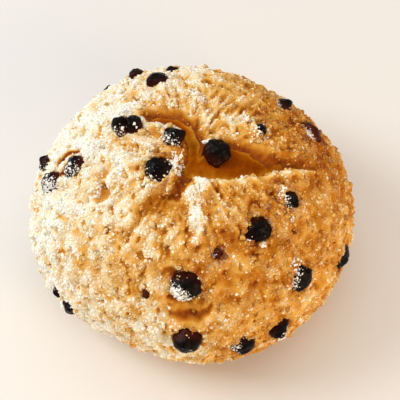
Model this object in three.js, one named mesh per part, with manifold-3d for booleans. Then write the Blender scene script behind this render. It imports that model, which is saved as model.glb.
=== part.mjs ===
// Melon pan: a round sweet bun under a cracked, sugared biscuit crust, studded with chocolate chips.
// Millimetres, +Z up. The origin is on the floor under the middle of the bun, and the long
// crack across the crown runs towards +X.
import * as THREE from "three";
import { mergeVertices } from "three/addons/utils/BufferGeometryUtils.js";
import Module from "manifold-3d";

// Driving dimensions of the bun
const width = 108; // along X, at the widest section
const depth = 105; // along Y
const height = 60; // floor to crown
const beltHeight = 21; // the widest section above the floor
const undercutDepth = 34; // how far down the lower half would close if the floor didn't cut it
const roundness = 2.1; // exponent of the dome: 2 is an ellipsoid, more is squarer
const footRounding = 5; // width of the rounded edge round the flat base
const crownAxis = [-0.8, 0]; // where the crown stands over the floor, off the middle of bun and chips

// The crust's own unevenness
const sideDent = { bearing: 243, spread: 20, share: 0.045 }; // one flatter flank
const squareness = 0.015; // how far the four quarters are drawn in
const swells = [
  // height, then the direction and rate of each slow swell, in waves per bun radius, and its start
  { rise: 0.55, rate: [2.3, 1.1, 0.7], start: 0.4 },
  { rise: 0.45, rate: [-1.3, 2.9, 1.6], start: 2.1 },
  { rise: 0.4, rate: [3.7, -2.2, 2.4], start: 4.0 },
];
const cragRise = 0.7; // height of the crumbly crags
const cragLength = 9; // crest to crest
const cragDrift = 2.4; // how far the crags wander off a regular pattern
const cragDrifts = [
  // length and start of the wave that pushes the crags along each axis
  { length: 33, start: 1.3 },
  { length: 29.5, start: 0.4 },
  { length: 38, start: 2.2 },
];

// Cracks in the crust, seen from above: points are [x, y, half width]
const crackDepth = 3.8;
const crackWall = 2.6; // width of a crack's sloping side
const fullDepthWidth = 2.6; // half width from which a crack is as deep as it gets
const crackLip = { rise: 0.7, away: 2.2, spread: 1.3 }; // the crust curls up beside a crack
const crustFade = { from: -0.1, to: 0.15 }; // cracks end here, as the rise of a ray from the centre
const cracks = [
  // the long one, from the crown towards +X
  [[-1, -3, 3.4], [6, -3, 5.4], [14, -0.5, 6.2], [21, -1, 4.2], [27, -1, 2.4], [35, 0, 1.7], [42, 0.5, 0.6]],
  // back over the crown and round to the left
  [[1, -3, 3.2], [1.4, 5, 2.6], [-0.4, 11.5, 2.4], [-5, 15.6, 3.1], [-11.5, 16.6, 3.1], [-17, 17.2, 0.6]],
  // forward and to the left
  [[-1, -4, 2.6], [-4, -11, 2.2], [-9, -15.5, 3.1], [-13.5, -17.5, 2.6], [-17, -21.5, 0.6]],
  // short ledge low on the front
  [[-10, -43, 0.6], [-2, -43.8, 2.4], [6, -42.6, 0.6]],
];
// A fold of crust that stands up between the two forward cracks
const fold = { from: [1.5, -9], to: [1.8, -26], halfWidth: 2.4, rise: 1.1 };

// Chocolate chips. Bearings run anticlockwise from +X and leans go down from the crown, in degrees.
// stand is how far a chip stands out of the crust, and tip is how far its point leans over and which
// way, anticlockwise from uphill.
const nearChips = [
  // crown
  { bearing: 16, lean: 13.4, width: 9.6, stand: 5, tip: [30, -24] },
  { bearing: 201, lean: 14.8, width: 9.2, stand: 3, tip: [20, 60] },
  { bearing: 126, lean: 11.4, width: 7, stand: 2.8, tip: [25, -38] },
  // two that touch, foot to foot
  { bearing: 143.8, lean: 30.4, width: 6.8, stand: 2.5, tip: [90, 36] },
  { bearing: 149.3, lean: 36, width: 6.8, stand: 2.5, tip: [90, 211] },
  { bearing: 28, lean: 36, width: 5.2, stand: 1, tip: [30, 200] },
  // front
  { bearing: 312, lean: 43, width: 9.2, stand: 2.6, tip: [12, 90] },
  { bearing: 268.5, lean: 54, width: 9.8, stand: 3.4, tip: [15, 20] },
  { bearing: 269.3, lean: 76, width: 9.4, stand: 3.8, tip: [34, 0] },
  { bearing: 340, lean: 46, width: 7.8, stand: 1.8, tip: [40, 270] },
  { bearing: 317, lean: 69, width: 10.6, stand: 2.2, tip: [30, 170] },
  { bearing: 338.5, lean: 83.5, width: 10, stand: 1.6, tip: [25, 95] },
  { bearing: 289, lean: 84, width: 7.8, stand: 1.6, tip: [25, 20] },
  { bearing: 302.5, lean: 84, width: 8.6, stand: 2, tip: [30, 50] },
  { bearing: 286.5, lean: 44, width: 4.6, stand: 1, tip: [30, 0] },
  { bearing: 251.5, lean: 61, width: 4, stand: 0.7, tip: [30, 90] },
  // left flank
  { bearing: 175.5, lean: 52.5, width: 9, stand: 2.4, tip: [35, 120] },
  { bearing: 181.5, lean: 63.5, width: 9.4, stand: 2.6, tip: [35, 300] },
  { bearing: 167, lean: 73, width: 6.4, stand: 2.6, tip: [15, 100] },
  { bearing: 220.5, lean: 91.5, width: 6.6, stand: 1.8, tip: [20, 0] },
  { bearing: 215, lean: 86.5, width: 4.8, stand: 1.1, tip: [20, 90] },
  // shoulder at the back
  { bearing: 107.5, lean: 49.5, width: 6.8, stand: 2.8, tip: [30, 0] },
  { bearing: 113.5, lean: 65, width: 5.2, stand: 3, tip: [10, 0] },
  { bearing: 98.3, lean: 62.5, width: 5.2, stand: 1.4, tip: [20, 0] },
  { bearing: 126.5, lean: 68.5, width: 4.6, stand: 1, tip: [20, 0] },
  { bearing: 41.5, lean: 58.5, width: 6, stand: 2.4, tip: [20, 20] },
  { bearing: 22.5, lean: 61.5, width: 10.2, stand: 2.4, tip: [30, 90] },
];
// Round the back they are scattered, each range from and to
const farChips = {
  count: 8,
  seed: 3,
  spacing: 15,
  bearing: [28, 152],
  lean: [74, 98],
  width: [6, 8.6],
  stand: [1.3, 2.2],
  tipLean: [10, 35],
  tipTurn: [0, 360],
};
const chipHeightShare = 0.62; // height over width
const chipMiddle = 0.45; // a chip leans over about this share of its height
const chipSides = 10;
const chipGap = 0.35; // clearance between a chip and its pocket
// Half of its section from foot to tip, as shares of width and height
const chipProfile = [[0, 0], [0.38, 0], [0.5, 0.2], [0.47, 0.5], [0.3, 0.82], [0, 1]];

// Fineness of the faceted solids
const facesPerEdge = 17; // each icosahedron edge is cut this many times, plus one
const crownFineness = 0.3; // how much smaller the crown's faces are than the belt's
const flatWithin = 0.01; // what is this close to the floor lies on it
const mergeWithin = 1e-4; // corners this close are one

const cream = 0xe0a95c;
const chocolate = 0x24130c;

const up = new THREE.Vector3(0, 0, 1);
const radians = THREE.MathUtils.degToRad;
const { clamp, lerp, smoothstep } = THREE.MathUtils;

// Unit vector at a bearing and a lean from straight up, in radians.
function direction(bearing, lean) {
  const level = Math.sin(lean);
  return new THREE.Vector3(level * Math.cos(bearing), level * Math.sin(bearing), Math.cos(lean));
}

// The smaller of two lengths, with the corner between them rounded.
function roundedMin(a, b, rounding) {
  const share = Math.max(rounding - Math.abs(a - b), 0) / rounding;
  return Math.min(a, b) - (share * share * rounding) / 4;
}

// Outline of the widest section, as a share of the plain ellipse.
function outline(angle) {
  const turn = angle - radians(sideDent.bearing);
  const away = Math.atan2(Math.sin(turn), Math.cos(turn)) / radians(sideDent.spread);
  return 1 - (squareness * (1 - Math.cos(4 * angle))) / 2 - sideDent.share * Math.exp(-(away ** 2));
}

// Distance from the centre of the widest section to the plain dome, and to the floor below it.
function domeRadius(d) {
  const share = outline(Math.atan2(d.y, d.x));
  const across = Math.hypot(d.x / ((width / 2) * share), d.y / ((depth / 2) * share));
  const upright = Math.abs(d.z) / (d.z > 0 ? height - beltHeight : undercutDepth);
  return (across ** roundness + upright ** roundness) ** (-1 / roundness);
}
const floorRadius = (d) => (d.z < 0 ? beltHeight / -d.z : Infinity);

// How far x, y lies outside the nearest stretch of a crack, and the crack's half width there.
function crackEdge(x, y, points) {
  let nearest = { outside: Infinity, halfWidth: 0 };
  for (let i = 1; i < points.length; i++) {
    const [ax, ay, aWidth] = points[i - 1];
    const [bx, by, bWidth] = points[i];
    const squaredLength = (bx - ax) ** 2 + (by - ay) ** 2;
    const along = clamp(((x - ax) * (bx - ax) + (y - ay) * (by - ay)) / squaredLength, 0, 1);
    const halfWidth = lerp(aWidth, bWidth, along);
    const outside = Math.hypot(x - lerp(ax, bx, along), y - lerp(ay, by, along)) - halfWidth;
    if (outside < nearest.outside) nearest = { outside, halfWidth };
  }
  return nearest;
}

// Slow swells of the whole dome.
function swell(d) {
  return swells.reduce((sum, { rise, rate, start }) =>
    sum + rise * Math.sin(rate[0] * d.x + rate[1] * d.y + rate[2] * d.z + start), 0);
}

// Rounded crags in every direction, from three crossed waves that push each other about.
function crags(p) {
  const pushed = (value, other, { length, start }) =>
    (2 * Math.PI * (value + cragDrift * Math.sin((2 * Math.PI * other) / length + start))) / cragLength;
  const x = pushed(p.x, p.y, cragDrifts[0]);
  const y = pushed(p.y, p.z, cragDrifts[1]);
  const z = pushed(p.z, p.x, cragDrifts[2]);
  const crest = 1.5; // the highest that the sum below gets
  return (Math.sin(x) * Math.cos(y) + Math.sin(y) * Math.cos(z) + Math.sin(z) * Math.cos(x)) / crest;
}

// How much the cracks and their lips lower or raise the crust, and how open it is, above p.
function crackRelief(p, upper) {
  const edges = cracks.map((points) => crackEdge(p.x, p.y, points));
  const { outside, halfWidth } = edges.reduce((a, b) => (b.outside < a.outside ? b : a));
  const share = upper * Math.min(1, halfWidth / fullDepthWidth);
  const open = (1 - smoothstep(outside, -crackWall / 2, crackWall / 2)) * share;
  const lip = Math.exp(-(((outside - crackLip.away) / crackLip.spread) ** 2)) * share;
  return { open, rise: crackLip.rise * lip - crackDepth * open };
}

// The bun's surface in a direction from the centre of the widest section.
function surface(d) {
  const centre = new THREE.Vector3(0, 0, beltHeight);
  const plain = domeRadius(d);
  const p = d.clone().multiplyScalar(plain).add(centre);
  const upper = smoothstep(d.z, crustFade.from, crustFade.to);
  const crack = crackRelief(p, upper);
  const ends = [[...fold.from, fold.halfWidth], [...fold.to, fold.halfWidth]];
  const folded = 1 - smoothstep(crackEdge(p.x, p.y, ends).outside, -fold.halfWidth, 0);
  const crumb = (1 - crack.open) * cragRise * crags(p);
  const relief = swell(d) + crumb + crack.rise + fold.rise * folded * upper;
  return d.clone().multiplyScalar(roundedMin(plain + relief, floorRadius(d), footRounding)).add(centre);
}

function bunGeometry() {
  const geometry = new THREE.IcosahedronGeometry(1, facesPerEdge);
  geometry.deleteAttribute("normal");
  geometry.deleteAttribute("uv");
  const ball = mergeVertices(geometry, mergeWithin);
  const position = ball.getAttribute("position");
  const d = new THREE.Vector3();
  for (let i = 0; i < position.count; i++) {
    d.fromBufferAttribute(position, i).normalize();
    const lean = Math.acos(clamp(d.z, -1, 1));
    const p = surface(direction(Math.atan2(d.y, d.x), lean - crownFineness * Math.sin(lean)));
    position.setXYZ(i, p.x, p.y, p.z < flatWithin ? 0 : p.z);
  }
  return ball;
}

// A random number from 0 to 1 at each call, the same series for the same seed.
function seededRandom(seed) {
  const [factor, step] = [1664525, 1013904223]; // the usual pair for a 32-bit linear generator
  let state = seed;
  return () => {
    state = (Math.imul(state, factor) + step) >>> 0;
    return state / 2 ** 32;
  };
}

// Chips drawn at random over the back, none nearer than the spacing to another.
function scatteredChips() {
  const random = seededRandom(farChips.seed);
  const draw = ([from, to]) => lerp(from, to, random());
  const spot = ({ bearing, lean }) => surface(direction(radians(bearing), radians(lean)));
  const scattered = [];
  while (scattered.length < farChips.count) {
    const chip = {
      bearing: draw(farChips.bearing),
      lean: draw(farChips.lean),
      width: draw(farChips.width),
      stand: draw(farChips.stand),
      tip: [draw(farChips.tipLean), draw(farChips.tipTurn)],
    };
    const taken = [...nearChips, ...scattered];
    if (taken.every((other) => spot(other).distanceTo(spot(chip)) > farChips.spacing)) scattered.push(chip);
  }
  return scattered;
}

// A baked chip: broad round foot, soft shoulder, blunt tip. grow widens it all round for its pocket.
function chipGeometry(chipWidth, grow = 0) {
  const tall = chipWidth * chipHeightShare;
  const profile = chipProfile.map(([r, z]) =>
    new THREE.Vector2(r && r * chipWidth + grow, z * (tall + 2 * grow) - grow));
  return new THREE.LatheGeometry(profile, chipSides).rotateX(Math.PI / 2);
}

// Where a chip stands: leant over from square to the crust, and sunk until only `stand` shows.
function chipPlace(chip) {
  const tall = chip.width * chipHeightShare;
  const [tipLean, tipTurn] = chip.tip.map(radians);
  const d = direction(radians(chip.bearing), radians(chip.lean));
  const steepening = (width / 2 / (height - beltHeight)) ** 2; // from a sphere's normal to the dome's
  const out = d.clone().multiply(new THREE.Vector3(1, 1, steepening)).normalize();
  const east = up.clone().cross(out).normalize();
  const uphill = out.clone().cross(east);
  const over = uphill.multiplyScalar(Math.cos(tipTurn)).addScaledVector(east, -Math.sin(tipTurn));
  const axis = out.clone().multiplyScalar(Math.cos(tipLean)).addScaledVector(over, Math.sin(tipLean));
  const reaches = chipProfile.map(([r, z]) =>
    z * tall * Math.cos(tipLean) + r * chip.width * Math.sin(tipLean));
  const middle = axis.clone().multiplyScalar(chipMiddle * tall);
  const sink = chip.stand - Math.max(...reaches) + middle.dot(out);
  const foot = surface(d).addScaledVector(out, sink).sub(middle);
  const turn = new THREE.Quaternion().setFromUnitVectors(up, axis);
  return new THREE.Matrix4().compose(foot, turn, new THREE.Vector3(1, 1, 1));
}

const wasm = await Module();
wasm.setup();

function toSolid(geometry, place = new THREE.Matrix4()) {
  const bare = new THREE.BufferGeometry().setAttribute("position", geometry.getAttribute("position"));
  bare.setIndex(geometry.getIndex());
  const merged = mergeVertices(bare.applyMatrix4(place), mergeWithin);
  const mesh = new wasm.Mesh({
    numProp: 3,
    vertProperties: merged.getAttribute("position").array,
    triVerts: new Uint32Array(merged.getIndex().array),
  });
  return new wasm.Manifold(mesh);
}

function toGeometry(solid) {
  const { vertProperties, triVerts } = solid.getMesh();
  const geometry = new THREE.BufferGeometry();
  geometry.setAttribute("position", new THREE.BufferAttribute(new Float32Array(vertProperties), 3));
  geometry.setIndex(new THREE.BufferAttribute(new Uint32Array(triVerts), 1));
  geometry.computeVertexNormals();
  return geometry;
}

// The bun with a pocket for every chip. A crumb that two pockets cut loose is dropped.
function pocketedBun(chips) {
  const pockets = chips.map((chip) => toSolid(chipGeometry(chip.width, chipGap), chipPlace(chip)));
  const cut = toSolid(bunGeometry()).subtract(pockets.reduce((all, one) => all.add(one)));
  return cut.decompose().sort((a, b) => b.volume() - a.volume())[0];
}

const melonPan = new THREE.Group();
const chips = [...nearChips, ...scatteredChips()];
const crustFinish = new THREE.MeshStandardMaterial({ color: cream, roughness: 0.85, metalness: 0 });
const bun = new THREE.Mesh(toGeometry(pocketedBun(chips)), crustFinish);
bun.name = "bun";
melonPan.add(bun);

chips.forEach((chip, i) => {
  const finish = new THREE.MeshStandardMaterial({ color: chocolate, roughness: 0.45, metalness: 0 });
  const mesh = new THREE.Mesh(chipGeometry(chip.width), finish);
  mesh.name = `chip_${String(i + 1).padStart(2, "0")}`;
  mesh.applyMatrix4(chipPlace(chip));
  melonPan.add(mesh);
});

melonPan.position.set(...crownAxis, 0);

export default melonPan;
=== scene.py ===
# Looks for a melon pan: baked dough, the cracked biscuit crust over it, its chocolate chips and the
# sugar and crumbs that cling to them. Shapes are worked out in millimetres and made in metres.
import math
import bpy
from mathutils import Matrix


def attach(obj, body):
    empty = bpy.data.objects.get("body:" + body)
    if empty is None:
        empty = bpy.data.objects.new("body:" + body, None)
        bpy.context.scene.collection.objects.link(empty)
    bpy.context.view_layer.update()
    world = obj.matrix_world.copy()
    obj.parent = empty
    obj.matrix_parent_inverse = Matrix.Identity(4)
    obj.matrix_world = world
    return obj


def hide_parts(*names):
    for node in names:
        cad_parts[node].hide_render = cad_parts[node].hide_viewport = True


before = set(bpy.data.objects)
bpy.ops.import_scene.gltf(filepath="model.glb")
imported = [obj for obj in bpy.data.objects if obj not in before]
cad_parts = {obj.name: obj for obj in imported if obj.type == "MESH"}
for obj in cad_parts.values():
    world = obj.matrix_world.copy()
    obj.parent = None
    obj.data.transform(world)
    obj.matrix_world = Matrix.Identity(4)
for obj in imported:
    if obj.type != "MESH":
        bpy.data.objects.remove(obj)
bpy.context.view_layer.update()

from types import SimpleNamespace

import bpy
import numpy as np
from mathutils import Vector, noise
from mathutils.bvhtree import BVHTree

mm = 0.001
farOff = 1e9    # further than anything here
rng = np.random.default_rng(7)


def smoothstep(value, low, high):
    share = np.clip((value - low) / (high - low), 0, 1)
    return share * share * (3 - 2 * share)


def bell(value, middle, spread):
    return np.exp(-(((value - middle) / spread) ** 2))


def between(low, high, share):
    return low + share * (high - low)


def lengths(vectors):
    return np.linalg.norm(vectors, axis=-1)


def unit(vectors):
    return vectors / np.linalg.norm(vectors, axis=-1, keepdims=True)


def waves(points, size, start):
    # smooth noise, about -1 to 1, with features this many millimetres across
    return np.array([noise.noise(q) for q in (points / size + start).tolist()])


def uneven(points, *patterns):
    # a pattern is how far it rises, how large it is, and a start that sets it apart from the others
    return sum(rise * waves(points, size, start) for rise, size, start in patterns)


def meshFrom(name, points, triangles, smooth=True):
    mesh = bpy.data.meshes.new(name)
    mesh.vertices.add(len(points))
    mesh.vertices.foreach_set("co", (points * mm).astype(np.float32).ravel())
    mesh.loops.add(triangles.size)
    mesh.loops.foreach_set("vertex_index", triangles.astype(np.int32).ravel())
    mesh.polygons.add(len(triangles))
    mesh.polygons.foreach_set("loop_start", np.arange(0, triangles.size, 3, dtype=np.int32))
    mesh.update(calc_edges=True)
    mesh.polygons.foreach_set("use_smooth", np.full(len(triangles), smooth))
    return mesh


def addObject(name, data):
    made = bpy.data.objects.new(name, data)
    bpy.context.scene.collection.objects.link(made)
    return made


def addPiece(name, mesh, material):
    piece = addObject(name, mesh)
    mesh.materials.clear()
    mesh.materials.append(material)
    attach(piece, "root")
    return piece


def paint(mesh, name, values):
    layer = mesh.attributes.new(name, "FLOAT", "POINT")
    layer.data.foreach_set("value", np.asarray(values, np.float32))


def geodesic(cuts):
    # unit vectors and triangles of an icosahedron whose edges are cut this many times
    golden = (1 + 5 ** 0.5) / 2
    corners = np.array([(0, y, z * golden) for y in (-1, 1) for z in (-1, 1)], float)
    corners = unit(np.concatenate([corners, np.roll(corners, 1, axis=1), np.roll(corners, 2, axis=1)]))
    apart = lengths(corners[:, None] - corners[None])
    np.fill_diagonal(apart, farOff)
    joined = apart < apart.min() * 1.01    # all edges are as long as the shortest, bar rounding
    count = len(corners)
    sides = [(a, b, c) for a in range(count) for b in range(a + 1, count) for c in range(b + 1, count)
             if joined[a, b] and joined[b, c] and joined[a, c]]
    steps = [(i, j) for i in range(cuts + 1) for j in range(cuts + 1 - i)]
    numbers = {step: k for k, step in enumerate(steps)}
    weights = np.array([(cuts - i - j, i, j) for i, j in steps], float) / cuts
    small = []
    for i, j in steps:
        if i + j < cuts:
            small.append((numbers[i, j], numbers[i + 1, j], numbers[i, j + 1]))
        if i + j < cuts - 1:
            small.append((numbers[i + 1, j], numbers[i + 1, j + 1], numbers[i, j + 1]))
    small = np.array(small)
    points = []
    triangles = []
    for k, (a, b, c) in enumerate(sides):
        outward = np.dot(np.cross(corners[b] - corners[a], corners[c] - corners[a]), corners[a]) > 0
        points.append(weights @ corners[[a, b, c] if outward else [a, c, b]])
        triangles.append(small + k * len(steps))
    points = unit(np.concatenate(points))
    _, first, same = np.unique(np.round(points, 6), axis=0, return_index=True, return_inverse=True)
    return points[first], same.ravel()[np.concatenate(triangles)]


# the bun's form, as the frame has it
bun = {
    "width": 108, "depth": 105, "height": 60, "beltHeight": 21, "undercut": 34,
    "roundness": 2.1, "footRounding": 5, "crownAt": (-0.8, 0.0),
    "dentBearing": 243, "dentSpread": 20, "dentShare": 0.045, "squareness": 0.015,
    # rise, direction and rate, start
    "swells": [(0.55, (2.3, 1.1, 0.7), 0.4), (0.45, (-1.3, 2.9, 1.6), 2.1), (0.4, (3.7, -2.2, 2.4), 4.0)],
    "cragRise": 0.7, "cragLength": 9, "cragDrift": 2.4,
    "cragDrifts": [(33, 1.3), (29.5, 0.4), (38, 2.2)],    # length and start, along x, y and z
}

cracking = {
    "depth": 3.8, "fullDepthWidth": 2.6, "fades": (-0.1, 0.15),
    # the way out of a crack, from 0 to 1 towards -y: below the first it sags, above the second it is torn
    "tornFrom": (0.1, 0.7),
    # where the crust's broken edge ends and begins beside the crack, where it sags and where it is torn
    "sagging": (-1.6, 3.4), "torn": (-0.9, 0.8),
    "ragged": (0.9, 5.5, 1.7), "raggedTorn": (0.5, 1.6, 1.7),
    "under": 0.35,    # how far the crust's edge dives below the dough
    # how far outside the crack these lie, and how far they spread
    "lipAt": (1.7, 1.2), "edgeAt": (1.0, 0.9), "overhangAt": (0.6, 0.9),
    "lipRise": 0.7, "lipWhereSagging": 0.3, "overhang": 0.4,
    # the crust sunk to a crack's floor takes its dark tone, partly painted shade
    "floorToastAndShade": 0.87, "floorToastFrom": (0.1, 0.8), "floorToastReach": 1.8,
    # x, y, half width
    "lines": [
        [(0.8, -3, 3.1), (6, -3, 5.4), (13.5, -1, 6.7), (17, -1, 5.8), (21, -2, 4.2), (25, -1.4, 2.3),
         (30, 0.1, 1.8), (36, 1, 1.4), (42, 1.5, 0.4)],
        [(1.6, -3, 3), (1.6, 5, 2.6), (-0.4, 11.5, 2.4), (-5, 15.6, 3.1), (-11.5, 16.6, 3.1),
         (-17, 17.2, 0.6)],
        [(0.4, -4, 2.4), (-2.4, -9.8, 1.6), (-3.8, -13.5, 1.2)],
    ],
}

hollows = {
    "depth": 2.6, "fullWidth": 2.2, "soft": (-1.8, 2.0), "wander": (0.8, 4, 2.9), "toastFrom": (0.1, 0.6),
    # how brown they are, then x, y, half width
    "lines": [
        (0.68, [(-5, -15.2, 2.2), (-8.6, -15.4, 2.8), (-11.7, -15.6, 2.6), (-15.2, -17.8, 1.4)]),
        (0.6, [(-9, -43.4, 0.6), (-2, -44.4, 2.4), (6, -43.2, 0.6)]),
        (0.5, [(6.3, -11.5, 0.8), (6.8, -16.5, 1.3), (6.2, -21, 0.6)]),
        (0.62, [(-27.9, -7.6, 1.7), (-27.9, -10.8, 2)]), (0.45, [(-28.2, -2.4, 1.2), (-27.9, -4.2, 1.2)]),
        (0.8, [(-7.8, 19.5, 0.9), (-7.8, 23, 0.9)]), (0.6, [(-18.6, 24, 1.1), (-17.4, 24.8, 1.1)]),
    ],
}

creases = {
    "depth": 0.6, "fullWidth": 0.1, "soft": (-0.2, 0.9), "wander": (0.3, 2, 6.1),
    # how dark they are, partly browner crust and partly painted shade in the crease, burnt edges the most,
    # then x, y, half width
    "lines": [
        (0.86, [(-6.4, -45, 0.1), (-2, -45.8, 0.4), (3, -45.6, 0.5), (5.6, -44, 0.4), (6.8, -42.4, 0.1)]),
        (0.92, [(-6.4, -40.9, 0.2), (-3.4, -42.1, 0.5), (0.6, -42.3, 0.2)]),
        (1.0, [(-46, 2.6, 0.3), (-44.5, 4.7, 0.5), (-42.9, 6.9, 0.5), (-39.7, 7.9, 0.6),
               (-36.2, 7.7, 0.2)]),
        (1.0, [(-41.6, 0, 0.7), (-40.2, 2.6, 0.7)]), (1.0, [(-20, 11.8, 0.4), (-20, 14.6, 0.4)]),
        (0.56, [(-27.9, -7.8, 1.1), (-27.9, -10.8, 1.5)]), (0.45, [(-28.2, -2.6, 0.7), (-27.9, -4, 0.7)]),
    ],
}

# a pale fold that runs down the front from the cracks, its pallor partly a painted highlight
fold = {
    "line": [(4, -8.6, 2.1), (2.4, -12.2, 2.9), (2.1, -17, 2.8), (1.9, -26, 2.2)],
    "rise": 1.0, "soft": (-1.8, 0.8), "wander": (1.2, 4, 8.8), "evenShare": 0.85, "uneven": (0.5, 3, 4.4),
    "paler": 0.5, "sugar": 0.6,
}
centre = np.array([0, 0, bun["beltHeight"]])
crownAt = np.array([*bun["crownAt"], 0])


def anglesOf(d):
    # the bearing from +X and the lean from the crown, in radians
    return np.arctan2(d[:, 1], d[:, 0]), np.arccos(np.clip(d[:, 2], -1, 1))


def directions(bearing, lean):
    return np.stack([np.sin(lean) * np.cos(bearing), np.sin(lean) * np.sin(bearing), np.cos(lean)], 1)


def domeRadius(d):
    angle, _ = anglesOf(d)
    turn = angle - math.radians(bun["dentBearing"])
    away = np.arctan2(np.sin(turn), np.cos(turn))
    share = 1 - bun["squareness"] * (1 - np.cos(4 * angle)) / 2
    share = share - bun["dentShare"] * bell(away, 0, math.radians(bun["dentSpread"]))
    across = np.hypot(d[:, 0] / (bun["width"] / 2 * share), d[:, 1] / (bun["depth"] / 2 * share))
    upper = bun["height"] - bun["beltHeight"]
    upright = np.abs(d[:, 2]) / np.where(d[:, 2] > 0, upper, bun["undercut"])
    power = bun["roundness"]
    return (across ** power + upright ** power) ** (-1 / power)


def floorRadius(d):
    return np.where(d[:, 2] < 0, bun["beltHeight"] / np.maximum(-d[:, 2], 1 / farOff), farOff)


def roundedMin(a, b, rounding):
    share = np.maximum(rounding - np.abs(a - b), 0) / rounding
    return np.minimum(a, b) - share * share * rounding / 4


def swell(d):
    return sum(rise * np.sin(d @ np.array(rate) + start) for rise, rate, start in bun["swells"])


def crags(p):
    # three crossed waves that wander, about -1 to 1
    crossed = []
    for k, (length, start) in enumerate(bun["cragDrifts"]):
        wander = bun["cragDrift"] * np.sin(2 * math.pi * p[:, (k + 1) % 3] / length + start)
        crossed.append(2 * math.pi * (p[:, k] + wander) / bun["cragLength"])
    x, y, z = crossed
    return (np.sin(x) * np.cos(y) + np.sin(y) * np.cos(z) + np.sin(z) * np.cos(x)) / 1.5


def lineEdge(x, y, *lines):
    # how far x, y is outside the nearest of these lines of varying width, and its half width there
    outside = np.full(len(x), farOff)
    halfWidth = np.zeros(len(x))
    for (ax, ay, aw), (bx, by, bw) in (ends for line in lines for ends in zip(line, line[1:])):
        run = (bx - ax) ** 2 + (by - ay) ** 2
        along = np.clip(((x - ax) * (bx - ax) + (y - ay) * (by - ay)) / run, 0, 1)
        here = between(aw, bw, along)
        away = np.hypot(x - ax - along * (bx - ax), y - ay - along * (by - ay)) - here
        nearer = away < outside
        outside = np.where(nearer, away, outside)
        halfWidth = np.where(nearer, here, halfWidth)
    return outside, halfWidth


def crackEdge(x, y):
    return lineEdge(x, y, *cracking["lines"])


def crackSlope(p, step=0.4):
    # the way out of the nearest crack, in x and y
    x, y = p[:, 0], p[:, 1]
    alongX = crackEdge(x + step, y)[0] - crackEdge(x - step, y)[0]
    alongY = crackEdge(x, y + step)[0] - crackEdge(x, y - step)[0]
    return np.stack([alongX, alongY], 1) / (2 * step)


def crackShare(d, halfWidth):
    # how deep a crack is here: full along its middle, less towards its ends and down the side
    return smoothstep(d[:, 2], *cracking["fades"]) * np.minimum(1, halfWidth / cracking["fullDepthWidth"])


def bandsAt(p, bands):
    # how deep in a hollow or a crease each point is, 0 to 1, and how brown that one is
    deep = np.zeros(len(p))
    brown = np.zeros(len(p))
    wander = uneven(p, bands["wander"])
    for toast, line in bands["lines"]:
        away, halfWidth = lineEdge(p[:, 0], p[:, 1], line)
        here = (1 - smoothstep(away + wander, *bands["soft"])) * (p[:, 2] > bun["beltHeight"])
        here = here * np.minimum(1, halfWidth / bands["fullWidth"])
        brown = np.where(here > deep, toast, brown)
        deep = np.maximum(deep, here)
    return deep, brown


def foldAt(p):
    away, _ = lineEdge(p[:, 0] + uneven(p, fold["wander"]), p[:, 1], fold["line"])
    return (1 - smoothstep(away, *fold["soft"])) * (fold["evenShare"] + uneven(p, fold["uneven"]))


def placed(d, plain, relief):
    # points at this relief over the plain dome, flattened on the floor, in the frame's place
    radius = roundedMin(plain + relief, floorRadius(d), bun["footRounding"])
    points = d * radius[:, None] + centre + crownAt
    points[:, 2] = np.maximum(points[:, 2], 0)
    return points


def spot(bearing, lean):
    # a place on the dome, by its bearing from +X and its lean from the crown, in degrees
    d = directions(*np.radians([[bearing], [lean]]))
    return placed(d, domeRadius(d), swell(d))[0]


def nearSpot(points, bearing, lean, spread):
    return bell(lengths(points - spot(bearing, lean)), 0, spread)


chipNodes = sorted(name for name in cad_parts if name.startswith("chip"))


def chipTree():
    corners = []
    faces = []
    for name in chipNodes:
        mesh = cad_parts[name].data
        first = len(corners)
        corners.extend([v.co / mm for v in mesh.vertices])
        faces.extend([[first + k for k in face.vertices] for face in mesh.polygons])
    return BVHTree.FromPolygons(corners, faces)


def chipDistance(points, tree, reach=4.0):
    # how far each point is outside the nearest chip, below 0 inside one
    found = np.full(len(points), reach)
    for k, q in enumerate(points.tolist()):
        nearest, facing, _, away = tree.find_nearest(q, reach)
        if nearest is not None:
            found[k] = away if facing.dot(Vector(q) - nearest) > 0 else -away
    return found


def colour(red, green, blue):
    # a screen colour from 0 to 255 as the linear colour that shaders take
    shares = [c / 255 for c in (red, green, blue)]
    linear = [s / 12.92 if s <= 0.04045 else ((s + 0.055) / 1.055) ** 2.4 for s in shares]
    return (*linear, 1)


palette = {
    "raw": colour(251, 244, 226), "pale": colour(244, 223, 182), "golden": colour(227, 171, 78),
    "brown": colour(192, 119, 20), "deep": colour(148, 70, 2), "dark": colour(102, 36, 1),
    "sugar": colour(255, 250, 242), "cream": colour(253, 238, 212), "honey": colour(234, 188, 102),
    "amber": colour(200, 131, 26),
    "chocolate": colour(6, 2, 1), "bloom": colour(46, 26, 17), "cocoaRed": colour(84, 26, 13),
    "floor": colour(226, 222, 218), "floorWarm": colour(229, 224, 219),
}

bakeAndLight = {
    # toast from pale to brown, along x between these places: partly browner baking, partly painted light
    # and shade, paler on the lit left and darker on the shaded right
    "pale": 0.08, "brown": 0.61, "reach": (-45, 12),
    "patches": [(0.12, 14, 4.1), (0.12, 5.5, 5.1), (0.1, 3, 6.1)],
    # bearing, lean, spread in millimetres, and how much darker it is there; the one at bearing 228 is
    # painted shade, those at bearings 27 and 8 are partly painted shade
    "spots": [(27, 56, 11, 0.14), (8, 60, 12, 0.08), (85, 30, 9, -0.16), (92, 56, 16, -0.32),
              (50, 24, 7, -0.25), (311, 25, 5, -0.1), (268, 84, 18, -0.2), (228, 64, 15, 0.25),
              (345, 84, 12, -0.16), (310, 84, 12, -0.16), (327, 55, 9, 0.09), (290, 59, 9, -0.05)],
}


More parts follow.
